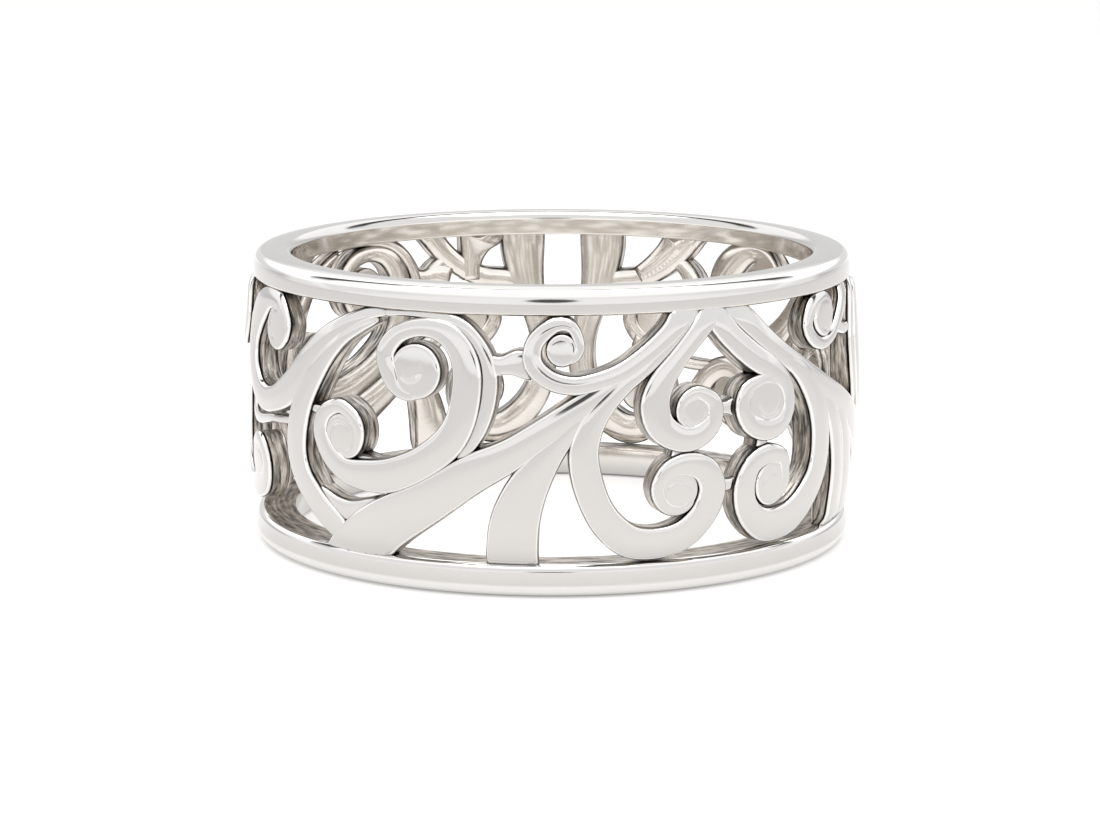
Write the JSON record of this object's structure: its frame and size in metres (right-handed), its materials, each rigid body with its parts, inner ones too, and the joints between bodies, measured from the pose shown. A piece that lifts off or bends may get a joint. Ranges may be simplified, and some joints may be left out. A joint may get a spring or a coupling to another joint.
{
  "type": "filigree openwork ring",
  "caption": "Wide finger ring with two plain rails and a band of scrolling openwork cast between them.",
  "frame": {"origin": "centre of the finger hole, on the plane that the lower rail rests on", "axes": "+Z along the finger hole, up from the lower rail; -Y through the middle of the side that shows in front"},
  "size_m": [0.0206, 0.0206, 0.0098],
  "materials": {
    "silver": "polished cast sterling silver"
  },
  "bodies": {
    "root": {"openwork_ring": "silver"}
  },
  "joints": []
}
